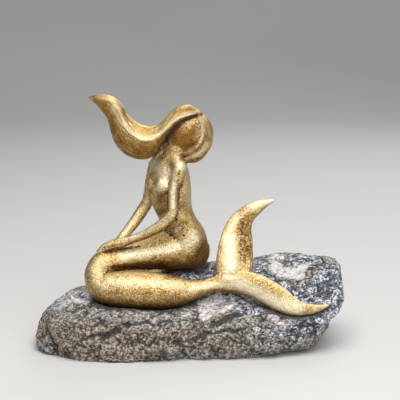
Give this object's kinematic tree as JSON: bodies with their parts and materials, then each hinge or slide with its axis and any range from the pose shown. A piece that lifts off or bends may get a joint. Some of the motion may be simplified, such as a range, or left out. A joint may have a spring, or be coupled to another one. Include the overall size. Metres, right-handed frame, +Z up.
{
  "type": "mermaid figurine",
  "caption": "Gilded figurine of a faceless seated mermaid with wind-swept hair and a raised forked tail, bedded on a rough natural stone.",
  "frame": {"origin": "on the floor, under the middle of the stone's bounding box", "axes": "+X along the stone towards the raised fluke, +Y away from the side the figure shows, +Z up"},
  "size_m": [0.314, 0.124, 0.2577],
  "materials": {
    "gilded_casting": "antique gold leaf over a brown ground, on cast resin",
    "granite": "rough natural granite, grey with tan and blue-black patches"
  },
  "bodies": {
    "root": {"mermaid_figure": "gilded_casting", "rock_base": "granite"}
  },
  "joints": []
}
